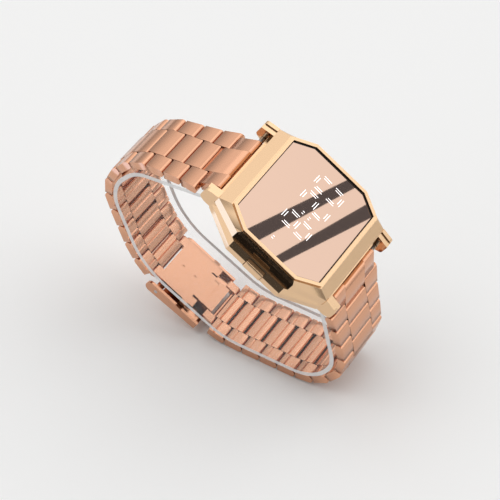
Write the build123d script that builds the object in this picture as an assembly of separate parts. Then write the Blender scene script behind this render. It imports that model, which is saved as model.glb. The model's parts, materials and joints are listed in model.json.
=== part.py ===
from build123d import *
import os
from math import atan2, degrees, hypot

# Digital wristwatch on a folded-link bracelet, closed round a clear display cuff.
# Watch frame: +X to the crown side, +Y to the 12 o'clock strap, +Z out of the glass,
# whose top face is at Z = 0. The last step stands the watch on its bracelet.

# Driving sizes of the head, in mm
case_half_width = 17.2
lug_half_width = 12.4
lug_gap_half_width = 10.0
bezel_side_width = 2.9
glass_half_width = case_half_width - bezel_side_width
glass_half_length = 11.8
glass_corner_inset = 1.0
glass_end_half_width = lug_half_width - glass_corner_inset
glass_side_half_length = 7.1
glass_thickness = 1.5
glass_gap = 0.08
case_flat_step = 0.1
case_flat_half_length = glass_side_half_length + case_flat_step
bar_length = 3.8
bar_edge_y = glass_half_length + bar_length
spring_bar_reach = 1.1
spring_bar_y = bar_edge_y + spring_bar_reach
spring_bar_drop = 4.8

# Side outline of a lug
lug_top_drop = 1.2
lug_tip_reach = 2.1
lug_tip_y = spring_bar_y + lug_tip_reach
lug_shoulder_drop = 1.95
lug_tip_low_drop = 5.0
lug_foot_inset = 1.4
lug_foot_y = lug_tip_y - lug_foot_inset
lug_foot_drop = 5.6
lug_round = 0.8
lug_step_width = 1.4
lug_step_depth = 0.35

# Heights of the head's layers, measured down from the glass
rim_rise = 0.5
rim_width = 0.85
bar_edge_drop = 1.3
bezel_drop = 3.3
band_edge_drop = 4.4
band_foot_drop = 5.9
case_bottom_drop = 7.4
back_thickness = 1.0

# Bezel facets
facet_ledge = 0.25
side_facet_inset = 1.45
side_facet_half_width = case_half_width - side_facet_inset
side_facet_lean = 0.3
side_shoulder_half_width = side_facet_half_width - side_facet_lean
bar_end_inset = 0.1
bar_end_half_width = lug_half_width - bar_end_inset
facet_side_step = 0.9
facet_side_half_length = glass_side_half_length + facet_side_step
crystal_ledge = 1.1

# Flared band of the case middle
band_top_inset = 1.0
band_foot_inset = 2.0
pocket_wall_inset = 1.05
pocket_wall_y = bar_edge_y - pocket_wall_inset
hood_lip = 0.5
hood_depth = 0.4

# Cavity and what it holds
side_wall = 4.5
cavity_half_width = case_half_width - side_wall
end_wall = 3.35
cavity_half_length = pocket_wall_y - end_wall
cavity_corner = 5.0
holder_gap = 0.15
mask_gap = 0.05
mask_thickness = 0.2
display_thickness = 1.5
display_side_gap = 1.7
display_half_width = cavity_half_width - display_side_gap
display_half_length = 5.0
board_thickness = 0.8
board_inset = 0.5
battery_radius = 8.0
battery_thickness = 1.6
battery_gap = 0.15
clip_thickness = 0.2
clip_width = 4.0
clip_end_gap = 1.2
clip_half_length = cavity_half_length - clip_end_gap
clip_finger_gap = 0.05
gasket_radius = 0.3
gasket_path_inset = 0.5

# Case back and its screws
back_seat_side = 1.1
back_half_width = cavity_half_width + back_seat_side
back_seat_end = 2.0
back_half_length = cavity_half_length + back_seat_end
back_corner_step = 0.6
back_corner = cavity_corner - back_corner_step
back_bevel = 0.4
screw_inset = 3.0
screw_x = back_half_width - screw_inset
screw_y = back_half_length - screw_inset
screw_head_radius = 0.9
screw_head_height = 0.5
screw_shank_radius = 0.45
screw_length = 2.2
screw_slot_width = 0.25
screw_slot_depth = 0.25

# Push buttons
button_half_length = 2.3
button_half_height = 1.05
button_drop = 4.7
button_stand_out = 0.45
button_head_depth = 1.5
button_gap = 0.12
button_travel = 0.6
button_round = 0.3
button_window = 1.7
button_stem_radius = 0.7
button_stem_gap = 0.04
button_collar_radius = 0.95
button_collar_length = 0.5
seal_radius = 1.25
seal_length = 0.6

# Digits shown by the display
digit_height = 7.0
digit_width = 3.6
digit_base_y = -4.0
digit_8_x = -4.0
digit_2_x = 2.6
digit_0_x = 8.2
colon_x = -0.6
mark_x = -10.8
segment_width = 1.1
segment_line = 0.35
segment_rise = 0.05

# Bracelet
link_rows = 12
link_pitch = 4.65
link_thickness = 1.9
centre_half_width = 4.1
strip_gap = 0.1
link_gap = 0.16
rear_overhang = 1.0
roll_radius = 0.7
inner_toe = 0.2
inner_chamfer = 0.25
inner_groove = 0.25
pin_radius = 0.4
pin_running_gap = 0.05
pin_end_cover = 0.9
bridge_radius = 0.4
open_end_gap = 0.2
end_link_half_width = 8.2
shoulder_half_width = 9.8
end_link_length = 5.65
strap_half_width = 8.05
taper_shares = (1.0, 0.49, 0.26, 0.08, 0.0)
spring_bar_radius = 0.6
spring_bar_tip_radius = 0.4
spring_bar_tip_length = 1.2
spring_bar_running_gap = 0.05

# Closed loop: corners of the line through the hinge pins, as (Y, Z), and their radii
loop_corners = [(20.4, -9.1), (33.6, -19.3), (36.0, -32.2), (15.5, -47.8),
                (-7.4, -46.6), (-30.8, -31.9), (-30.9, -20.7), (-19.95, -9.6)]
loop_radii = [9.0, 9.7, 11.8, 22.0, 19.5, 12.3, 9.5, 9.0]

# Clasp
plate_length = 11.6
plate_half_width = 6.6
plate_thickness = 0.6
ear_thickness = 0.8
ear_radius = 0.9
ear_reach = 7.55
tab_start = 8.6
tab_length = 1.6
tab_top = 1.5
notch_width = 0.6
notch_depth = 1.6
notch_offset = 4.1
rivet_radius = 0.35
rivet_depth = 0.15
rivet_offset = 1.8
cover_start = 0.3
cover_end = 15.2
cover_half_width = 8.4
cover_thickness = 0.7
cover_wall = 0.7
cover_start_top = 3.5
cover_end_top = 2.5
cover_low = 0.5
cover_lip = 0.5
cover_pin_radius = 0.45
cover_pin_x = 3.2
hook_half_width = 1.4
hook_length = 1.1
hook_gap = 0.2
tongue_ear_half_width = 6.2
tongue_bar_half_width = 3.9
tongue_bar_end = 3.8
tongue_bar_round = 0.35
tongue_half_width = 3.4
tongue_length = 11.4
tongue_thickness = 0.5
tongue_gap = 0.15

# Clear display cuff
cuff_gaps = (0.75, 0.75, 1.0, 1.9, 0.75, 0.75, 0.75)
cuff_thickness = 1.0
cuff_half_width = 8.6
cuff_end_y = 9.0
cuff_top_gap = 0.6
cuff_shoulder_radius = 4.0

# Passes that settle each straight pitch on the curve
settling_steps = 6

# One overrun serves every cut
overrun = 1.0

# The watch stands on the straight flank between the fifth and sixth corners
flank = [low - high for high, low in zip(loop_corners[4], loop_corners[5])]
stand_angle = degrees(atan2(flank[1], -flank[0]))

half_thickness = link_thickness / 2
back_drop = case_bottom_drop + back_thickness
os.makedirs("parts", exist_ok=True)


# Shapes shared by the head and the bracelet

def mirrored(quarter):
    """Closed outline from the corner points of its +X +Y quarter, told from the +Y side round to +X."""
    right = quarter + [(x, -y) for x, y in reversed(quarter)]
    return right + [(-x, y) for x, y in reversed(right)]


def octagon(side_x, side_y, end_x, end_y):
    return mirrored([(end_x, end_y), (side_x, side_y)])


def grown(outline, by):
    """Outline moved outwards by the same distance on every side."""
    return offset(Polyline(*outline, close=True), by, kind=Kind.INTERSECTION)


def prism(outline, bottom, top):
    face = make_face(Polyline(*outline, close=True))
    return extrude(Pos(0, 0, bottom) * face, top - bottom, dir=(0, 0, 1))


def across(profile, half_width):
    """Solid of a profile in the XY plane, the same distance to both sides of it."""
    return extrude(make_face(profile), half_width, both=True)


def lying_rod(radius, start_x, end_x, y, z):
    rod = Cylinder(radius, abs(end_x - start_x), align=(Align.CENTER, Align.CENTER, Align.MIN))
    return Pos(min(start_x, end_x), y, z) * Rot(0, 90, 0) * rod


both_ends = (Rot(0, 0, 0), Rot(0, 0, 180))


# Head

glass_outline = octagon(glass_half_width, glass_side_half_length, glass_end_half_width, glass_half_length)


def grown_prism(outline, by, bottom, top):
    face = make_face(grown(outline, by))
    return extrude(Pos(0, 0, bottom) * face, top - bottom, dir=(0, 0, 1))


def crystal():
    plate = grown_prism(glass_outline, 0, -glass_thickness, 0)
    return plate


def bezel():
    """Facets down to the band, a rim round the glass and a ledge below it."""
    shoulder = octagon(side_shoulder_half_width, facet_side_half_length, bar_end_half_width, bar_edge_y)
    foot = octagon(side_facet_half_width, facet_side_half_length, bar_end_half_width, bar_edge_y)
    top_wire = grown(glass_outline, rim_width + facet_ledge)
    shoulder_wire = Pos(0, 0, -bar_edge_drop) * Polyline(*shoulder, close=True)
    foot_wire = Pos(0, 0, -bezel_drop) * Polyline(*foot, close=True)
    body = loft([make_face(foot_wire), make_face(shoulder_wire), make_face(top_wire)], ruled=True)
    body += grown_prism(glass_outline, rim_width, -glass_thickness, rim_rise)
    body -= grown_prism(glass_outline, glass_gap, -glass_thickness, rim_rise + overrun)
    body -= grown_prism(glass_outline, -crystal_ledge, -bezel_drop - overrun, rim_rise)
    return body


def band_outline(inset):
    waist, end = case_half_width - inset, lug_half_width - inset
    return octagon(waist, case_flat_half_length, end, bar_edge_y)


def cavity_outline(by=0):
    side, end = cavity_half_width + by, cavity_half_length + by
    return octagon(side, end - cavity_corner, side - cavity_corner, end)


def lug():
    """Rounded plate beyond the +Y end that rises to the bezel's edge, stepped down on its inner side."""
    start, top = (bar_edge_y, -lug_top_drop), (lug_tip_y, -lug_shoulder_drop)
    outline = [start, top, (lug_tip_y, -lug_tip_low_drop), (lug_foot_y, -lug_foot_drop),
               (pocket_wall_y, -lug_foot_drop), (pocket_wall_y, -bezel_drop), (bar_edge_y, -bezel_drop)]
    face = make_face(Polyline(*outline, close=True))
    face = fillet([corner for corner in face.vertices() if corner.X > lug_foot_y - lug_round], lug_round)
    step = Polyline(start, top, (lug_tip_y, -lug_shoulder_drop - lug_step_depth),
                    (bar_edge_y, -lug_top_drop - lug_step_depth), close=True)
    view = Plane(origin=(lug_gap_half_width, 0, 0), x_dir=(0, 1, 0), z_dir=(1, 0, 0))
    plate = extrude(view * face, lug_half_width - lug_gap_half_width)
    return plate - extrude(view * make_face(step), lug_step_width)


def case_middle():
    """Flared band with four lugs, strap pockets, cavity and button ports."""
    sections = [(band_foot_inset, case_bottom_drop), (0, band_foot_drop),
                (0, band_edge_drop), (band_top_inset, bezel_drop)]
    faces = [Pos(0, 0, -drop) * make_face(Polyline(*band_outline(inset), close=True))
             for inset, drop in sections]
    body = loft(faces, ruled=True)
    pocket_length = lug_tip_y + overrun - pocket_wall_y
    lugs = lug() + mirror(lug(), Plane.YZ)
    pocket = Box(2 * lug_gap_half_width, pocket_length, case_bottom_drop + overrun,
                 align=(Align.CENTER, Align.MIN, Align.MAX))
    hood = Box(2 * lug_gap_half_width, bar_edge_y - pocket_wall_y + hood_lip, hood_depth,
               align=(Align.CENTER, Align.MIN, Align.MAX))
    tip = lug_gap_half_width + spring_bar_tip_length
    for turn in both_ends:
        body -= turn * Pos(0, pocket_wall_y, 0) * pocket
        body += turn * lugs
        body += turn * Pos(0, pocket_wall_y, -bezel_drop) * hood
        body -= turn * lying_rod(spring_bar_tip_radius, -tip, tip, spring_bar_y, -spring_bar_drop)
    body -= prism(cavity_outline(), -case_bottom_drop - overrun, -bezel_drop + overrun)
    for turn in both_ends:
        body -= turn * button_port()
    for x, y in screw_places():
        body -= Pos(x, y, -case_bottom_drop) * Cylinder(
            screw_shank_radius, screw_length - back_thickness + screw_head_height,
            align=(Align.CENTER, Align.CENTER, Align.MIN))
    body -= gasket_ring(gasket_radius)
    return body


def gasket_ring(radius):
    """Square-cut seal between the case middle and the back."""
    wire_out = grown(cavity_outline(), gasket_path_inset + radius)
    wire_in = grown(cavity_outline(), gasket_path_inset - radius)
    ring = make_face(wire_out) - make_face(wire_in)
    return extrude(Pos(0, 0, -case_bottom_drop) * ring, radius, dir=(0, 0, 1))


def back_outline(by=0):
    side, end = back_half_width + by, back_half_length + by
    return octagon(side, end - back_corner, side - back_corner, end)


def screw_places():
    return [(side * screw_x, end * screw_y) for side in (1, -1) for end in (1, -1)]


def case_back():
    plate = prism(back_outline(), -back_drop, -case_bottom_drop)
    plate = chamfer(plate.faces().sort_by(Axis.Z)[0].edges(), back_bevel)
    for x, y in screw_places():
        plate -= Pos(x, y, -back_drop) * Cylinder(
            screw_head_radius, screw_head_height, align=(Align.CENTER, Align.CENTER, Align.MIN))
        plate -= Pos(x, y, -back_drop) * Cylinder(
            screw_shank_radius, back_thickness, align=(Align.CENTER, Align.CENTER, Align.MIN))
    return plate


def case_back_screws():
    screws = []
    for x, y in screw_places():
        screw = Cylinder(screw_head_radius, screw_head_height, align=(Align.CENTER, Align.CENTER, Align.MIN))
        screw += Cylinder(screw_shank_radius, screw_length, align=(Align.CENTER, Align.CENTER, Align.MIN))
        screw -= Box(2 * screw_head_radius + overrun, screw_slot_width, 2 * screw_slot_depth)
        screws.append(Pos(x, y, -back_drop) * screw)
    return screws


# Inside the head, layer by layer below the glass

mask_top = -glass_thickness - mask_gap
display_top = mask_top - mask_thickness - segment_rise
board_top = display_top - display_thickness
battery_top = board_top - board_thickness - battery_gap
clip_top = battery_top - battery_thickness - clip_finger_gap


def display_mask():
    return grown_prism(glass_outline, -crystal_ledge - mask_gap, mask_top - mask_thickness, mask_top)


def led_display():
    return Pos(0, 0, display_top) * Box(2 * display_half_width, 2 * display_half_length, display_thickness,
                                        align=(Align.CENTER, Align.CENTER, Align.MAX))


def segment(x, y, width, height):
    """One lit bar, drawn as its outline."""
    outline = Rectangle(width, height) - Rectangle(width - 2 * segment_line, height - 2 * segment_line)
    return Pos(x, y, display_top) * extrude(outline, segment_rise)


def digit(centre_x, size, lit):
    """Seven-segment figure of the given share of full size, its bars named a to g from the top round."""
    width, height, bar = size * digit_width, size * digit_height, size * segment_width
    middle_y = digit_base_y + height / 2
    side_x = (width - bar) / 2
    level = (height - bar) / 2
    flat, upright = width - 2 * bar, level - bar
    levels = {"a": level, "g": 0, "d": -level}
    sides = {"f": (-side_x, 1), "b": (side_x, 1), "e": (-side_x, -1), "c": (side_x, -1)}
    bars = [segment(centre_x, middle_y + levels[name], flat, bar) for name in lit if name in levels]
    return bars + [segment(centre_x + sides[name][0], middle_y + sides[name][1] * level / 2, bar, upright)
                   for name in lit if name in sides]


def led_segments():
    """The hour, a colon, the minutes and a small mark for the half of the day."""
    bars = digit(digit_8_x, 1, "abcdefg") + digit(digit_2_x, 1, "abged") + digit(digit_0_x, 1, "abcdef")
    for height_share in (1 / 3, 2 / 3):
        dot_y = digit_base_y + height_share * digit_height
        bars.append(segment(colon_x, dot_y, segment_width, segment_width))
    return bars + [segment(mark_x, digit_base_y + digit_height / 2, segment_width, segment_width)]


def circuit_board():
    side, end = cavity_half_width - board_inset, cavity_half_length - board_inset
    outline = octagon(side, end - cavity_corner, side - cavity_corner, end)
    return prism(outline, board_top - board_thickness, board_top) - button_windows()


def button_windows():
    """Room for both buttons' collars."""
    window = Box(2 * button_window, 2 * (button_collar_radius + button_gap), case_bottom_drop)
    return [turn * Pos(cavity_half_width, 0, -button_drop) * window for turn in both_ends]


def module_holder():
    """Moulded frame that fills the cavity below the board, with the cell's pocket and button windows."""
    floor = holder_gap - case_bottom_drop
    body = prism(cavity_outline(-holder_gap), floor, board_top - board_thickness)
    pocket = Cylinder(battery_radius + battery_gap, case_bottom_drop, align=(Align.CENTER, Align.CENTER, Align.MIN))
    body -= Pos(0, 0, floor) * pocket
    channel = Box(clip_width + holder_gap, 2 * clip_half_length + holder_gap, case_bottom_drop,
                  align=(Align.CENTER, Align.CENTER, Align.MAX))
    body -= Pos(0, 0, clip_top) * channel
    return body - button_windows()


def battery():
    cell = Cylinder(battery_radius, battery_thickness, align=(Align.CENTER, Align.CENTER, Align.MAX))
    cell = chamfer(cell.edges().sort_by(Axis.Z)[0], clip_thickness)
    return Pos(0, 0, battery_top) * cell


def battery_clip():
    """Spring strap that presses the cell against the board."""
    strap = Box(clip_width, 2 * clip_half_length, clip_thickness,
                align=(Align.CENTER, Align.CENTER, Align.MAX))
    return Pos(0, 0, clip_top) * strap


# Push buttons, drawn for the +X side

port_floor = case_half_width + button_stand_out - button_head_depth - button_travel - button_gap


def button_port():
    """Slot for the head, seat for the seal and bore for the stem."""
    slot = Box(case_half_width, 2 * (button_half_length + button_gap),
               2 * (button_half_height + button_gap), align=(Align.MIN, Align.CENTER, Align.CENTER))
    port = Pos(port_floor, 0, -button_drop) * slot
    port += lying_rod(button_stem_radius + button_stem_gap, cavity_half_width - overrun, port_floor, 0, -button_drop)
    return port + lying_rod(seal_radius, port_floor - seal_length, port_floor, 0, -button_drop)


def button():
    head_top = case_half_width + button_stand_out
    collar_top = cavity_half_width - button_gap
    head = Box(button_head_depth, 2 * button_half_length, 2 * button_half_height,
               align=(Align.MAX, Align.CENTER, Align.CENTER))
    head = fillet(head.faces().sort_by(Axis.X)[-1].edges(), button_round)
    body = Pos(head_top, 0, -button_drop) * head
    body += lying_rod(button_stem_radius, collar_top, head_top - button_head_depth, 0, -button_drop)
    return body + lying_rod(button_collar_radius, collar_top - button_collar_length, collar_top, 0, -button_drop)


def button_seal():
    ring = lying_rod(seal_radius, port_floor - seal_length, port_floor, 0, -button_drop)
    return ring - lying_rod(button_stem_radius + button_stem_gap, port_floor - seal_length - overrun,
                            port_floor + overrun, 0, -button_drop)


# Hinge line of the closed bracelet

loop_points = [(spring_bar_y, -spring_bar_drop), *loop_corners, (-spring_bar_y, -spring_bar_drop)]
hinge_curve = FilletPolyline(*loop_points, radius=loop_radii)


def hinge_places(from_far_end):
    """Places in (Y, Z) of one strap half's hinges, stepped off along the loop by straight pitches."""
    def place(walked):
        point = hinge_curve.position_at(hinge_curve.length - walked if from_far_end else walked,
                                        position_mode=PositionMode.LENGTH)
        return point.X, point.Y

    walked, places = 0, [place(0)]
    for pitch in [end_link_length] + [link_pitch] * link_rows:
        step = pitch
        for _ in range(settling_steps):
            step += pitch - distance(place(walked + step), places[-1])
        walked += step
        places.append(place(walked))
    return places


def distance(start, end):
    return hypot(end[0] - start[0], end[1] - start[1])


# Bracelet links. Local X runs from a link's own pin to the next, local Y points away from the wrist

def link_plane(start, end, side_sign):
    along = (0, end[0] - start[0], end[1] - start[1])
    return Plane(origin=(0, start[0], start[1]), x_dir=along, z_dir=(side_sign, 0, 0))


def outer_profile(length):
    """Side piece: a full roll about its own pin, a flat top and a sharp rear edge."""
    h = half_thickness
    rear = length - h - link_gap
    middle = (rear + h) / 2
    return Curve() + [
        ThreePointArc((0, -h), (-h, 0), (0, h)),
        Polyline((0, h), (rear, h), (rear, -h), (middle + inner_groove, -h), (middle, inner_groove - h),
                 (middle - inner_groove, -h), (0, -h)),
    ]


def centre_profile(length, front):
    """Middle piece: rolled front edge, sharp rear edge over the next pin and a round underside there."""
    h = half_thickness
    rear = length + rear_overhang
    toe = length + inner_toe
    middle = (front + toe) / 2
    return Curve() + [
        RadiusArc((front, h - roll_radius), (front + roll_radius, h), roll_radius),
        Polyline((front + roll_radius, h), (rear, h), (rear, 0)),
        TangentArc((rear, 0), (toe, -h), tangent=(0, -1)),
        Polyline((toe, -h), (middle + inner_groove, -h), (middle, inner_groove - h),
                 (middle - inner_groove, -h), (front + inner_chamfer, -h), (front, inner_chamfer - h),
                 (front, h - roll_radius)),
    ]


def cross_rod(radius, half_width, x):
    return Pos(x, 0, 0) * Cylinder(radius, 2 * half_width)


def centre_piece(length, front):
    piece = across(centre_profile(length, front), centre_half_width)
    return piece - cross_rod(pin_radius + pin_running_gap, centre_half_width + overrun, length)


def outer_pieces(length, front_half_width, rear_half_width):
    """Both side pieces, narrowing from front to rear."""
    inside = centre_half_width + strip_gap
    widest = max(front_half_width, rear_half_width)
    sides = across(outer_profile(length), widest) - Box(
        2 * length + overrun, link_thickness + overrun, 2 * inside)
    if front_half_width != rear_half_width:
        rear = length - half_thickness - link_gap
        outline = [(-half_thickness, -front_half_width), (rear, -rear_half_width),
                   (rear, rear_half_width), (-half_thickness, front_half_width)]
        plan = Plane.XZ * make_face(Polyline(*outline, close=True))
        sides &= extrude(plan, link_thickness + overrun, both=True)
    return sides


def strap_half_width_at(row):
    """Half width of the strap where a row starts, row 0 being the first after the end link."""
    share = taper_shares[min(row, len(taper_shares) - 1)]
    return strap_half_width + share * (shoulder_half_width - strap_half_width)


def pin_half_length(half_width):
    return half_width - pin_end_cover


def link(length, row, open_end=False):
    """One bracelet row and its hinge pin: two side pieces riveted to a middle piece half a step behind.

    A row with an open end stops short of its last pin, so that the clasp can leave it.
    """
    front_width, rear_width = strap_half_width_at(row), strap_half_width_at(row + 1)
    bridge_x = (rear_overhang + length - half_thickness) / 2
    pin_reach = pin_half_length(rear_width)
    body = outer_pieces(length, front_width, rear_width)
    body -= cross_rod(pin_radius, pin_reach, 0)
    body += centre_piece(length, rear_overhang + link_gap)
    body += cross_rod(bridge_radius, centre_half_width + 2 * strip_gap, bridge_x)
    if open_end:
        beyond = Box(length, link_thickness + overrun, 2 * centre_half_width + overrun,
                     align=(Align.MIN, Align.CENTER, Align.CENTER))
        body -= Pos(length - pin_radius - open_end_gap, 0, 0) * beyond
    return [body, cross_rod(pin_radius, pin_reach, 0)]


def end_link(length):
    """Full-width bar on the spring bar with a tongue between the first side pieces."""
    bar = across(outer_profile(length), end_link_half_width)
    bar += across(centre_profile(length, half_thickness), centre_half_width)
    bar -= cross_rod(pin_radius + pin_running_gap, centre_half_width + overrun, length)
    bar -= cross_rod(spring_bar_radius + spring_bar_running_gap, end_link_half_width + overrun, 0)
    return [bar]


def spring_bar():
    tip = lug_gap_half_width + spring_bar_tip_length
    sleeve = lug_gap_half_width - strip_gap
    bar = lying_rod(spring_bar_radius, -sleeve, sleeve, spring_bar_y, -spring_bar_drop)
    return bar + lying_rod(spring_bar_tip_radius, -tip, tip, spring_bar_y, -spring_bar_drop)


# Clasp. Local X starts at the pin that holds each piece and runs to the other half's last pin

def slab(start, end, bottom, top, half_width):
    box = Box(end - start, top - bottom, 2 * half_width, align=(Align.MIN, Align.MIN, Align.CENTER))
    return Pos(start, bottom, 0) * box


def both_sides(piece, offset_z):
    return [Pos(0, 0, offset_z) * piece, Pos(0, 0, -offset_z) * piece]


def rod_at(x, y, radius, half_width):
    return Pos(0, y, 0) * cross_rod(radius, half_width, x)


def knuckles(half_width, reach, panel_thickness):
    """Two ears rolled about the pin, running out into a thin panel on the wrist side."""
    h = half_thickness
    profile = Curve() + [
        ThreePointArc((0, -h), (-h, 0), (0, h)),
        Polyline((0, h), (reach, panel_thickness - h), (reach, -h), (0, -h)),
    ]
    return across(profile, half_width) - Box(4 * reach, 2 * link_thickness, 2 * (centre_half_width + strip_gap))


cover_pin_y = (cover_start_top + cover_low) / 2
link_front = rear_overhang + link_gap
tongue_top = plate_thickness - half_thickness + tongue_gap + tongue_thickness
hook_start = (tab_start + plate_length - hook_length) / 2
hook_end = hook_start + hook_length


def clasp_plate():
    """Inner plate: knuckles on the last 12 o'clock link, a bare panel, ears for the cover pin and two tabs."""
    h = half_thickness
    top = plate_thickness - h
    body = slab(link_front, plate_length, -h, top, plate_half_width)
    body += knuckles(plate_half_width, 2 * link_front, plate_thickness)
    body += slab(tab_start, tab_start + tab_length, -h, top, ear_reach)
    ear = slab(cover_pin_x - ear_radius, cover_pin_x + ear_radius, -h, cover_pin_y, ear_thickness / 2)
    boss = rod_at(cover_pin_x, cover_pin_y, ear_radius, (ear_reach - plate_half_width + ear_thickness) / 2)
    tab = slab(tab_start, tab_start + tab_length, -h, tab_top, ear_thickness / 2)
    body += both_sides(ear, plate_half_width - ear_thickness / 2)
    body += both_sides(boss, (ear_reach + plate_half_width - ear_thickness) / 2)
    body += both_sides(tab, ear_reach - ear_thickness / 2)
    notch = slab(plate_length - notch_depth, plate_length + overrun, -h - overrun, h, notch_width / 2)
    body -= both_sides(notch, notch_offset)
    for side in (1, -1):
        dimple = Rot(90, 0, 0) * Cylinder(rivet_radius, 2 * rivet_depth)
        body -= Pos(plate_length / 2 + side * rivet_offset, -h, 0) * dimple
    body -= cross_rod(pin_radius, pin_half_length(plate_half_width), 0)
    body -= rod_at(cover_pin_x, cover_pin_y, cover_pin_radius + pin_running_gap, ear_reach + overrun)
    return [body, cross_rod(pin_radius, pin_half_length(plate_half_width), 0)]


def clasp_cover():
    """Fold-over channel, deeper towards its hinge; a hook inside holds the tongue."""
    end_radius = cover_start_top - cover_pin_y
    wall_start = cover_start + end_radius
    fall = (cover_start_top - cover_end_top) / (cover_end - wall_start)
    skin_start = cover_pin_x + ear_radius + hook_gap
    start_top = cover_start_top - fall * (skin_start - wall_start)
    skin = Polyline((skin_start, start_top), (cover_end, cover_end_top),
                    (cover_end, cover_end_top - cover_thickness), (skin_start, start_top - cover_thickness),
                    close=True)
    wall = Polyline((wall_start, cover_start_top), (cover_end, cover_end_top), (cover_end, cover_low),
                    (wall_start, cover_low), close=True)
    body = across(skin, cover_half_width)
    side = across(wall, cover_wall / 2) + rod_at(wall_start, cover_pin_y, end_radius, cover_wall / 2)
    body += both_sides(side, cover_half_width - cover_wall / 2)
    low = cover_end_top - cover_thickness
    body += slab(cover_end - cover_thickness, cover_end, low - cover_lip, cover_end_top, cover_half_width)
    body += slab(hook_start, hook_end, tongue_top - tongue_thickness, cover_end_top, hook_half_width)
    return [body - rod_at(cover_pin_x, cover_pin_y, cover_pin_radius, cover_half_width + overrun)]


def cover_pin():
    return [rod_at(cover_pin_x, cover_pin_y, cover_pin_radius, cover_half_width)]


def clasp_tongue(length):
    """Strip that lies on the plate: knuckles on the last 6 o'clock link, a cross bar and a window for the hook."""
    h = half_thickness
    low = tongue_top - tongue_thickness
    bar = slab(link_front, tongue_bar_end, -h, tongue_top, tongue_bar_half_width)
    bar = fillet(bar.edges().filter_by(Axis.Y).group_by(Axis.X)[-1], tongue_bar_round)
    body = bar + knuckles(tongue_ear_half_width, 2 * link_front, plate_thickness)
    body += slab(link_front, 2 * link_front, low, tongue_top, tongue_ear_half_width)
    body += slab(link_front, tongue_length, low, tongue_top, tongue_half_width)
    body -= slab(length - hook_end - hook_gap, length - hook_start + hook_gap, -h, h,
                 hook_half_width + hook_gap)
    body -= cross_rod(pin_radius, pin_half_length(tongue_ear_half_width), 0)
    return [body, cross_rod(pin_radius, pin_half_length(tongue_ear_half_width), 0)]


# Display cuff

def moved_side(start, end, inwards):
    """Side of the hinge line's polygon, moved towards the wrist, as a point and a direction."""
    span = distance(start, end)
    along = ((end[0] - start[0]) / span, (end[1] - start[1]) / span)
    return (start[0] + inwards * along[1], start[1] - inwards * along[0]), along


def meeting(first, second):
    """Point where two lines cross, each given as a point and a direction."""
    (p, u), (q, v) = first, second
    turn = u[0] * v[1] - u[1] * v[0]
    reach = ((q[0] - p[0]) * v[1] - (q[1] - p[1]) * v[0]) / turn
    return p[0] + reach * u[0], p[1] + reach * u[1]


def display_cuff():
    """Clear cuff inside the bracelet, with both ends under the case back."""
    inwards = [half_thickness + gap + cuff_thickness / 2 for gap in cuff_gaps]
    top_z = -back_drop - cuff_top_gap - cuff_thickness / 2
    top = ((0, top_z), (1, 0))
    sides = [moved_side(*ends) for ends in zip(loop_corners, loop_corners[1:], inwards)]
    lines = [top] + sides + [top]
    corners = [meeting(first, second) for first, second in zip(lines, lines[1:])]
    radii = [cuff_shoulder_radius, *(r - by for r, by in zip(loop_radii[1:-1], inwards)), cuff_shoulder_radius]
    middle = FilletPolyline((cuff_end_y, top_z), *corners, (-cuff_end_y, top_z), radius=radii)
    profile = make_face(offset(middle, cuff_thickness / 2, side=Side.BOTH))
    return Plane.YZ.location * extrude(profile, cuff_half_width, both=True)


model = {}


def build_head():
    model["case_middle"] = [case_middle()]
    model["bezel"] = [bezel()]
    model["crystal"] = [crystal()]
    model["display_mask"] = [display_mask()]
    model["led_display"] = [led_display()]
    model["led_segments"] = led_segments()
    model["circuit_board"] = [circuit_board()]
    model["module_holder"] = [module_holder()]
    model["battery"] = [battery()]
    model["battery_clip"] = [battery_clip()]
    model["case_gasket"] = [gasket_ring(gasket_radius)]
    model["case_back"] = [case_back()]
    model["case_back_screws"] = case_back_screws()
    model["button_seals"] = [turn * button_seal() for turn in both_ends]
    model["button_right"] = [button()]
    model["button_left"] = [both_ends[1] * button()]
    model["spring_bar_12"] = [spring_bar()]
    model["spring_bar_6"] = [both_ends[1] * spring_bar()]


def put(name, plane, pieces):
    model[name] = [plane.location * piece for piece in pieces]


def build_strap(name, places, side_sign):
    rows = [link(link_pitch, row) for row in range(len(taper_shares))]
    put(f"end_link_{name}", link_plane(places[0], places[1], side_sign), end_link(end_link_length))
    for row in range(link_rows):
        plane = link_plane(places[row + 1], places[row + 2], side_sign)
        put(f"link_{name}_{row + 1:02d}", plane, rows[min(row, len(rows) - 1)])
    if side_sign < 0:
        put(f"link_{name}_{link_rows:02d}", plane, link(link_pitch, link_rows, open_end=True))


def build_clasp(last_12, last_6):
    length = distance(last_12, last_6)
    from_12, from_6 = link_plane(last_12, last_6, 1), link_plane(last_6, last_12, -1)
    put("clasp_plate", from_12, clasp_plate())
    put("clasp_cover", from_12, clasp_cover())
    put("cover_pin", from_12, cover_pin())
    put("clasp_tongue", from_6, clasp_tongue(length))


hinges_12, hinges_6 = hinge_places(False), hinge_places(True)
build_head()
build_strap("12", hinges_12, 1)
build_strap("6", hinges_6, -1)
build_clasp(hinges_12[-1], hinges_6[-1])
model["display_cuff"] = [display_cuff()]


def write_parts():
    """Stand the watch on its bracelet, centred over the origin, and write each node."""
    stand = Rot(stand_angle, 0, 0)
    placed = {node: [stand * piece for piece in pieces] for node, pieces in model.items()}
    boxes = [piece.bounding_box() for pieces in placed.values() for piece in pieces]
    near_y, far_y = min(box.min.Y for box in boxes), max(box.max.Y for box in boxes)
    shift = Pos(0, -(near_y + far_y) / 2, -min(box.min.Z for box in boxes))
    for node, pieces in placed.items():
        export_step(Compound([shift * piece for piece in pieces]), f"parts/{node}.step")
    return shift * stand


frame_place = write_parts()
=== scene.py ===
import json
from math import atan2, cos, radians, sin

import bpy
from mathutils import Euler, Matrix, Vector


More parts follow.
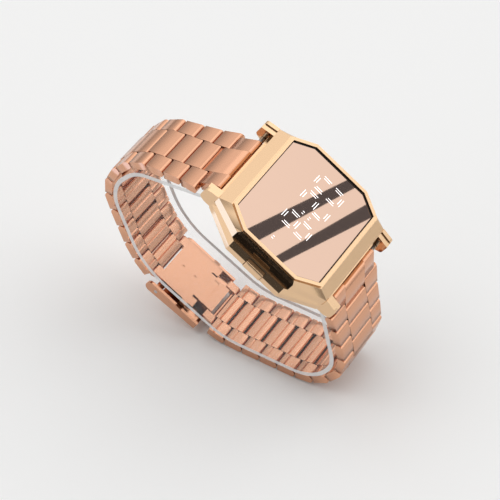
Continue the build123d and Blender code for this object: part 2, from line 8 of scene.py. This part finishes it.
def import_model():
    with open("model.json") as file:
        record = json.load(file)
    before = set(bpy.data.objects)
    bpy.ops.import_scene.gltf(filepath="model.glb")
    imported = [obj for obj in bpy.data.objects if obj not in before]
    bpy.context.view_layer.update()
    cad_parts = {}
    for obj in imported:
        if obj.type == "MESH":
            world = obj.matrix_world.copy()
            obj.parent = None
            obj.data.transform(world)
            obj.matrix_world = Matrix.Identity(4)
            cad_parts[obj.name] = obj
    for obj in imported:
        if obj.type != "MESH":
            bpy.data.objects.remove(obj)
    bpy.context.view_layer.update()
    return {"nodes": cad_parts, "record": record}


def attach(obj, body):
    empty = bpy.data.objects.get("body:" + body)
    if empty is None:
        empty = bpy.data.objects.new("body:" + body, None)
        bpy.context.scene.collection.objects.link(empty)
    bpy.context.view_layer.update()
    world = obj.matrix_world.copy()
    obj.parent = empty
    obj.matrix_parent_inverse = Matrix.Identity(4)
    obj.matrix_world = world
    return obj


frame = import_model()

# Meshes of the CAD model, and its record
nodes = frame["nodes"]
record = frame["record"]

# Camera, in metres and degrees. The azimuth is the way it looks, turned from +Y towards +X.
# The picture's side is in pixels.
image_size = 500
camera_azimuth = 58.4
camera_elevation = 46.0
camera_distance = 0.42
camera_target = (-0.011186, -0.008564, 0.038814)
camera_lens = 143.19
camera_sensor = 36.0
camera_clip = 0.01

# Floor, and the room that the metals reflect: its light from the horizon up to a height,
# and the share of it that is left on the darker side, where the camera stands
floor_side = 6.0
floor_colour = (0.95, 0.95, 0.945)
floor_roughness = 0.9
floor_shine = 0.1
world_low = 0.35
world_high = 1.12
world_full_height = 0.7
dark_side = (-0.62, -0.45, 0.64)
dark_side_start = 0.7
dark_side_full = 0.92
dark_side_share = 0.07

# Soft lamps: direction, side and distance in metres, and the brightness of the lit face
lamps = {
    "key": ((-0.15, 0.62, 0.95), 0.7, 1.1, 2.4),
    "glass_box": ((0.60, -0.56, 0.58), 1.5, 1.3, 1.2),
}

# Cards hang round the watch and are seen only as reflections. Places and directions beside
# the watch are told from the middle of the glass: towards 3 o'clock, towards 12 o'clock, out.

# Two dark cards that the glass mirrors, told by where their corners show in the photograph:
# two near ones, then two far ones. They run on past those corners by a share of their length.
glass_card_distance = 0.35
glass_card_colour = (0.14, 0.147, 0.17)
glass_card_pixels = {
    "card_upper": [(246.6, 229.1), (258.7, 240.5), (355.6, 187.6), (347.3, 179.9)],
    "card_lower": [(275.3, 256.5), (282.3, 262.9), (371.6, 217.6), (366.5, 204.2)],
}
glass_card_overrun = 0.15

# Dark card that the long bezel facet at 9 o'clock mirrors. It hangs beside the case,
# between two angles below the glass as seen from the facet.
facet_card_colour = (0.004, 0.003, 0.003)
facet_place = (-0.0155, -0.003, -0.0018)
facet_card_distance = 0.04
facet_card_half_length = 0.017
facet_card_angles = (28.0, 50.5)

# Bright card that the bezel's corner between 9 and 12 o'clock mirrors
corner_card_colour = (1.25, 1.5, 2.0)
corner_place = (-0.0138, 0.0105, -0.002)
corner_card_way = (-0.57, 0.43, -0.66)
corner_card_distance = 0.05
corner_card_half_side = 0.012

# Digits on the glass, in metres: each lit bar shows as two thin strokes. Each figure has its
# place along the middle of the glass and the names of its lit bars, a to g from the top round.
figures = [(-0.0043, "abcdefg"), (0.00285, "abged"), (0.0083, "abcdef")]
figures_level = -0.00055
figures_turn = -3.0
bar_reach = 0.00178
bar_rise = 0.0035
stroke_gap = 0.00056
stroke_width = 0.00015
stroke_lift = 0.00003
outer_stroke = 0.0022
inner_stroke = 0.0017

# The colon's two dots and the small mark left of the digits are pairs of short strokes
colon_place = -0.0008
colon_levels = (0.0008, -0.001)
mark_place = (-0.0110, 0.0018)
dot_gap = 0.0006
dot_stroke = 0.0005

# Painted shade of the gap round the glass, drawn as a dark ring on the glass's edge: its share of
# the way to the middle, and its height over the glass.
# The crystal's corners within glass_flat of its face are its rim. Those whose places are the
# same to rim_digits decimals count as one.
gap_shade_share = 0.015
gap_shade_lift = 0.00002
glass_flat = 0.00002
rim_digits = 5

# Faces of the bracelet's rows are shaded as slightly domed along the strap, this much per metre.
# The side pieces lie further than row_split from the strap's middle. A face whose normal leans
# row_side or more towards X is one of a row's two sides.
row_dome = 85.0
row_split = 0.00415
row_side = 0.1

# Brushed finishes: how fine the streaks are along X, Y and Z, their strength and the two ends
# of their roughness
strap_streaks = ((300.0, 9000.0, 9000.0), 0.1, (0.14, 0.26))
steel_streaks = ((300.0, 6000.0, 6000.0), 0.2, (0.25, 0.4))
streak_detail = 3.0
streak_depth = 0.00005

# Colours and roughness of the metals and the mirror glass
gold = (0.81, 0.55, 0.335)
rose_gold = (0.70, 0.37, 0.232)
steel = (0.52, 0.51, 0.51)
glass_peach = (0.60, 0.418, 0.325)
glass_roughness = 0.015

# The case is polished, and turns satin between these two cosines of the way the glass faces
polished_roughness = 0.08
satin_roughness = 0.24
satin_facing = (0.5, 0.8)

# Lit bars: body colour, light and its strength
bar_white = (0.9, 0.9, 0.9)
bar_light = (1.0, 1.0, 1.0)
bar_strength = 1.1

# Clear plastic, and how much of what lies behind them the clear pieces cover
plastic_white = (0.9, 0.9, 0.9)
plastic_roughness = 0.08
film_alpha = 0.5
cuff_face_alpha = 0.05
cuff_edge_alpha = 0.85

# Plain finishes: colour, roughness and cover
plain_finishes = {
    "dark_film": ((0.03, 0.03, 0.035), 0.5, film_alpha),
    "display_body": ((0.04, 0.04, 0.045), 0.45, 1.0),
    "board": ((0.03, 0.16, 0.07), 0.4, 1.0),
    "moulding": ((0.05, 0.05, 0.055), 0.5, 1.0),
    "seal_rubber": ((0.02, 0.02, 0.02), 0.7, 1.0),
}


def watch_axes():
    """Middle of the glass, and the directions of 3 o'clock, of 12 o'clock and out of the glass."""
    mount = next(m for m in record["mounts"] if m["name"] == "glass_face")
    across, out = Vector((1, 0, 0)), Vector(mount["axis"]).normalized()
    return Vector(mount["pos_m"]), across, out.cross(across), out


glass_middle, to_3, to_12, glass_out = watch_axes()


def watch_vector(x, y, z):
    """Vector from its parts towards 3 o'clock, towards 12 o'clock and out of the glass."""
    return to_3 * x + to_12 * y + glass_out * z


def shader(name, **inputs):
    """New material with these values on its Principled BSDF."""
    material = bpy.data.materials.new(name)
    material.use_nodes = True
    principled = material.node_tree.nodes["Principled BSDF"]
    for label, value in inputs.items():
        socket = principled.inputs[label.replace("_", " ").title().replace("Ior", "IOR")]
        socket.default_value = (*value, 1.0) if isinstance(value, tuple) else value
    return material


def feed(tree, socket, value):
    """Links a socket to another one, or sets it to a number or a vector."""
    if isinstance(value, bpy.types.NodeSocket):
        tree.links.new(value, socket)
    else:
        socket.default_value = value


def drive(tree, label, value):
    """Feeds an input of the material's Principled BSDF."""
    feed(tree, tree.nodes["Principled BSDF"].inputs[label], value)


def place_on(tree, kind):
    """Texture coordinates of this kind."""
    return tree.nodes.new("ShaderNodeTexCoord").outputs[kind]


def object_value(tree, name):
    """Vector that the object itself carries under this name."""
    node = tree.nodes.new("ShaderNodeAttribute")
    node.attribute_type = "OBJECT"
    node.attribute_name = name
    return node.outputs["Vector"]


def add_parts(tree, vector):
    """Outputs X, Y and Z of a vector."""
    node = tree.nodes.new("ShaderNodeSeparateXYZ")
    feed(tree, node.inputs["Vector"], vector)
    return node.outputs


def add_math(tree, operation, *values):
    """Result of a math node on sockets or numbers."""
    node = tree.nodes.new("ShaderNodeMath")
    node.operation = operation
    for socket, value in zip(node.inputs, values):
        feed(tree, socket, value)
    return node.outputs["Value"]


def add_dot(tree, first, second):
    """Dot product of two vectors."""
    node = tree.nodes.new("ShaderNodeVectorMath")
    node.operation = "DOT_PRODUCT"
    feed(tree, node.inputs[0], first)
    feed(tree, node.inputs[1], second)
    return node.outputs["Value"]


def add_range(tree, value, start, end):
    """Value carried over from one span to another, and kept within it."""
    node = tree.nodes.new("ShaderNodeMapRange")
    feed(tree, node.inputs["Value"], value)
    for label, limit in zip(("From Min", "From Max", "To Min", "To Max"), (*start, *end)):
        feed(tree, node.inputs[label], limit)
    return node.outputs["Result"]


def add_bump(tree, height, strength, distance):
    """Bump node on a height."""
    node = tree.nodes.new("ShaderNodeBump")
    feed(tree, node.inputs["Height"], height)
    feed(tree, node.inputs["Strength"], strength)
    feed(tree, node.inputs["Distance"], distance)
    return node


def add_brushing(tree, stretch, strength, roughness):
    """Fine streaks along X: a bump, which is returned, and a roughness that varies with them."""
    scale = tree.nodes.new("ShaderNodeMapping")
    feed(tree, scale.inputs["Vector"], place_on(tree, "Object"))
    feed(tree, scale.inputs["Scale"], stretch)
    streaks = tree.nodes.new("ShaderNodeTexNoise")
    feed(tree, streaks.inputs["Vector"], scale.outputs["Vector"])
    feed(tree, streaks.inputs["Scale"], 1.0)
    feed(tree, streaks.inputs["Detail"], streak_detail)
    drive(tree, "Roughness", add_range(tree, streaks.outputs["Fac"], (0.0, 1.0), roughness))
    bump = add_bump(tree, streaks.outputs["Fac"], strength, streak_depth)
    drive(tree, "Normal", bump.outputs["Normal"])
    return bump


def mark_rows():
    """Notes on each row the way the strap runs, and the middles of its centre and side pieces."""
    for name, node in nodes.items():
        if not name.startswith(("link_", "end_link_")):
            continue
        faces = [face for face in node.data.polygons if abs(face.normal.x) < row_side]
        widest = max(faces, key=lambda face: face.area)
        along = Vector((1, 0, 0)).cross(widest.normal).normalized()
        levels = {"centre": [], "side": []}
        for vertex in node.data.vertices:
            piece = "side" if abs(vertex.co.x) > row_split else "centre"
            levels[piece].append(vertex.co.dot(along))
        centre, side = [(min(spots) + max(spots)) / 2 for spots in levels.values()]
        node["row_along"] = list(along)
        node["row_middles"] = [centre, side, 0.0]


def row_offset(tree):
    """How far along the strap a spot lies from the middle of its piece, as mark_rows notes it."""
    level = add_dot(tree, place_on(tree, "Object"), object_value(tree, "row_along"))
    aside = add_math(tree, "ABSOLUTE", add_parts(tree, place_on(tree, "Object"))["X"])
    is_side = add_math(tree, "GREATER_THAN", aside, row_split)
    middles = add_parts(tree, object_value(tree, "row_middles"))
    middle = add_range(tree, is_side, (0.0, 1.0), (middles["X"], middles["Y"]))
    return add_math(tree, "SUBTRACT", level, middle)


def add_dome(tree, brushing):
    """Shades the flat faces of a row as slightly domed, under its brushing."""
    offset = row_offset(tree)
    square = add_math(tree, "MULTIPLY", offset, offset)
    dome = add_bump(tree, add_math(tree, "MULTIPLY", square, -row_dome), 1.0, 1.0)
    feed(tree, brushing.inputs["Normal"], dome.outputs["Normal"])


def case_gold():
    """Polished, with satin faces towards the front."""
    material = shader("case_gold", base_color=gold, metallic=1.0)
    tree = material.node_tree
    front = add_dot(tree, place_on(tree, "Normal"), glass_out)
    roughness = add_range(tree, front, satin_facing, (polished_roughness, satin_roughness))
    drive(tree, "Roughness", roughness)
    return material


def strap_rose():
    """Brushed, with domed rows."""
    material = shader("strap_rose", base_color=rose_gold, metallic=1.0)
    add_dome(material.node_tree, add_brushing(material.node_tree, *strap_streaks))
    return material


def plain_steel():
    """Brushed steel of the pieces inside and of the pins."""
    material = shader("plain_steel", base_color=steel, metallic=1.0)
    add_brushing(material.node_tree, *steel_streaks)
    return material


def mirror_glass():
    """Peach mirror coat, which hides what lies under the glass."""
    return shader("mirror_glass", base_color=glass_peach, metallic=1.0, roughness=glass_roughness)


def lit_segments():
    """White light."""
    return shader("lit_segments", base_color=bar_white,
                  emission_color=bar_light, emission_strength=bar_strength)


def clear_plastic():
    """Clear through its faces and whitish along its cut edges, which face along X."""
    material = shader("clear_plastic", base_color=plastic_white, roughness=plastic_roughness)
    tree = material.node_tree
    aside = add_math(tree, "ABSOLUTE", add_parts(tree, place_on(tree, "Normal"))["X"])
    drive(tree, "Alpha", add_range(tree, aside, (0.0, 1.0), (cuff_face_alpha, cuff_edge_alpha)))
    return material


finishes = {
    "case_gold": case_gold(),
    "strap_rose": strap_rose(),
    "mirror_glass": mirror_glass(),
    "lit_segments": lit_segments(),
    "clear_plastic": clear_plastic(),
    "plain_steel": plain_steel(),
}
for plain_name, (plain_colour, plain_roughness, cover) in plain_finishes.items():
    finishes[plain_name] = shader(plain_name, base_color=plain_colour,
                                  roughness=plain_roughness, alpha=cover)

for part in record["subparts"]:
    for slot in nodes[part["node"]].material_slots:
        slot.material = finishes[part["material_slot"]]


def mesh_piece(name, vertices, faces, material):
    """New object in the scene."""
    mesh = bpy.data.meshes.new(name)
    mesh.from_pydata(vertices, [], faces)
    mesh.materials.append(material)
    piece = bpy.data.objects.new(name, mesh)
    bpy.context.scene.collection.objects.link(piece)
    return piece


def figure_bars(lit):
    """Middle, direction and outward side of each lit bar of a figure, about its middle."""
    half = bar_rise / 2
    level, upright = Vector((1, 0)), Vector((0, 1))
    bars = {
        "a": (Vector((0, bar_rise)), level, upright),
        "b": (Vector((bar_reach, half)), upright, level),
        "c": (Vector((bar_reach, -half)), upright, level),
        "d": (Vector((0, -bar_rise)), level, -upright),
        "e": (Vector((-bar_reach, -half)), upright, -level),
        "f": (Vector((-bar_reach, half)), upright, -level),
        "g": (Vector((0, 0)), level, -upright),
    }
    return [bars[name] for name in lit]


def stroke(middle, along, aside, length):
    """Corners of a thin stroke in the plane of the glass."""
    reach, side = along * length / 2, aside * stroke_width / 2
    return [middle - reach - side, middle + reach - side,
            middle + reach + side, middle - reach + side]


def figure_strokes():
    """Corners of each stroke of the figures, the colon and the mark, before they are turned."""
    strokes = []
    for place, lit in figures:
        for middle, along, outward in figure_bars(lit):
            centre, step = middle + Vector((place, 0)), outward * stroke_gap / 2
            strokes.append(stroke(centre + step, along, outward, outer_stroke))
            strokes.append(stroke(centre - step, along, outward, inner_stroke))
    for dot in [(colon_place, level) for level in colon_levels] + [mark_place]:
        for side in (-1, 1):
            centre = Vector(dot) + Vector((side * dot_gap / 2, 0))
            strokes.append(stroke(centre, Vector((0, 1)), Vector((1, 0)), dot_stroke))
    return strokes


def lit_digits():
    """The light of the digits where it leaves the mirror coat of the glass."""
    turn = Matrix.Rotation(radians(figures_turn), 2)
    vertices, faces = [], []
    for corners in figure_strokes():
        faces.append(tuple(range(len(vertices), len(vertices) + len(corners))))
        for corner in corners:
            x, y = turn @ corner + Vector((0, figures_level))
            vertices.append(glass_middle + watch_vector(x, y, stroke_lift))
    piece = mesh_piece("digit_light", vertices, faces, finishes["lit_segments"])
    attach(piece, "head")


def glass_outline():
    """Corners of the glass in order round its middle, towards 3 o'clock and 12 o'clock."""
    rim = set()
    for vertex in nodes["crystal"].data.vertices:
        spot = vertex.co - glass_middle
        if abs(spot.dot(glass_out)) < glass_flat:
            rim.add((round(spot.dot(to_3), rim_digits), round(spot.dot(to_12), rim_digits)))
    return sorted(rim, key=lambda corner: atan2(corner[1], corner[0]))


def painted_gap_shade():
    """Dark ring on the glass's edge, painted shade of the gap where the glass meets the bezel."""
    outline = glass_outline()
    count = len(outline)
    vertices = [glass_middle + watch_vector(x * share, y * share, gap_shade_lift)
                for share in (1.0, 1.0 - gap_shade_share) for x, y in outline]
    faces = [(i, (i + 1) % count, count + (i + 1) % count, count + i) for i in range(count)]
    # The ring takes the dark rubber finish to paint the shade of the gap.
    piece = mesh_piece("painted_gap_shade", vertices, faces, finishes["seal_rubber"])
    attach(piece, "head")


def camera():
    """Camera that stands where the photographer stood."""
    lens = bpy.data.cameras.new("camera")
    lens.lens = camera_lens
    lens.sensor_width = camera_sensor
    lens.clip_start = camera_clip
    piece = bpy.data.objects.new("camera", lens)
    bpy.context.scene.collection.objects.link(piece)
    turn = Euler((radians(90 - camera_elevation), 0, radians(-camera_azimuth)))
    forward = turn.to_matrix() @ Vector((0, 0, -1))
    piece.rotation_euler = turn
    piece.location = Vector(camera_target) - camera_distance * forward
    bpy.context.scene.camera = piece
    return piece


def stage_mesh(name, corners, material):
    """Flat piece of the studio, which isn't part of the object."""
    piece = mesh_piece(name, corners, [tuple(range(len(corners)))], material)
    return piece


def floor():
    """Pale floor that the watch stands on."""
    half = floor_side / 2
    material = shader("floor", base_color=floor_colour, roughness=floor_roughness,
                      specular_ior_level=floor_shine)
    corners = [(-half, -half, 0), (half, -half, 0), (half, half, 0), (-half, half, 0)]
    stage_mesh("floor", corners, material)


def mirrored(vector, normal):
    """Direction after a mirror with this normal."""
    return vector - 2 * vector.dot(normal) * normal


def card_corners(viewer, pixels):
    """Points that the rays through these pixels reach, a card's distance on from the glass."""
    turn = viewer.rotation_euler.to_matrix()
    image_width = camera_sensor / camera_lens
    corners = []
    for pixel in pixels:
        right, down = [(value / image_size - 0.5) * image_width for value in pixel]
        ray = turn @ Vector((right, -down, -1))
        way = (glass_middle - viewer.location).dot(glass_out) / ray.dot(glass_out)
        onward = mirrored(ray, glass_out).normalized()
        corners.append(viewer.location + ray * way + onward * glass_card_distance)
    return corners


def studio_card(name, corners, colour):
    """Card that only reflections show."""
    material = shader(name, base_color=(0.0, 0.0, 0.0), roughness=1.0,
                      emission_color=colour, emission_strength=1.0)
    card = stage_mesh(name, corners, material)
    card.visible_camera = False
    card.visible_diffuse = False
    card.visible_shadow = False
    card.visible_transmission = False


def run_on(start, end):
    """Where the line from start to end ends after its overrun."""
    return end + (end - start) * glass_card_overrun


def glass_cards(viewer):
    """Cards placed where the glass mirrors them to the camera."""
    for name, pixels in glass_card_pixels.items():
        near_a, near_b, far_b, far_a = card_corners(viewer, pixels)
        corners = [run_on(far_a, near_a), run_on(far_b, near_b),
                   run_on(near_b, far_b), run_on(near_a, far_a)]
        studio_card(name, corners, glass_card_colour)


def facet_card():
    """Card that the long bezel facet mirrors to the camera."""
    corners = []
    low, high = facet_card_angles
    x, y, z = facet_place
    for angle, side in ((low, 1), (low, -1), (high, -1), (high, 1)):
        drop = radians(angle)
        corners.append(glass_middle + watch_vector(x - facet_card_distance * cos(drop),
                                                   y + side * facet_card_half_length,
                                                   z - facet_card_distance * sin(drop)))
    studio_card("card_facet", corners, facet_card_colour)


def corner_card():
    """Card that the bezel's corner mirrors to the camera."""
    way = watch_vector(*corner_card_way).normalized()
    middle = glass_middle + watch_vector(*corner_place) + way * corner_card_distance
    aside = way.cross(glass_out).normalized() * corner_card_half_side
    rise = aside.cross(way)
    corners = [middle - aside - rise, middle + aside - rise,
               middle + aside + rise, middle - aside + rise]
    studio_card("card_corner", corners, corner_card_colour)


def soft_lamp(name, direction, side, distance, brightness):
    """Square lamp that faces the foot of the watch from a direction."""
    lamp = bpy.data.lights.new(name, "AREA")
    lamp.shape = "SQUARE"
    lamp.size = side
    lamp.energy = brightness * side ** 2
    piece = bpy.data.objects.new(name, lamp)
    bpy.context.scene.collection.objects.link(piece)
    outward = Vector(direction).normalized()
    piece.location = outward * distance
    piece.rotation_euler = outward.to_track_quat("Z", "Y").to_euler()


def world():
    """Pale room that the metals reflect, darker towards the floor and behind the camera."""
    sky = bpy.data.worlds.new("studio")
    bpy.context.scene.world = sky
    sky.use_nodes = True
    tree = sky.node_tree
    height = add_parts(tree, place_on(tree, "Generated"))["Z"]
    level = add_range(tree, height, (0.0, world_full_height), (world_low, world_high))
    towards = add_dot(tree, place_on(tree, "Generated"), Vector(dark_side).normalized())
    shade = add_range(tree, towards, (dark_side_start, dark_side_full), (1.0, dark_side_share))
    background = tree.nodes["Background"]
    feed(tree, background.inputs["Strength"], add_math(tree, "MULTIPLY", level, shade))
    feed(tree, background.inputs["Color"], (1.0, 1.0, 1.0, 1.0))


mark_rows()
lit_digits()
painted_gap_shade()
floor()
world()
for lamp_name, lamp_values in lamps.items():
    soft_lamp(lamp_name, *lamp_values)
glass_cards(camera())
facet_card()
corner_card()
bpy.context.scene.view_settings.view_transform = "Standard"
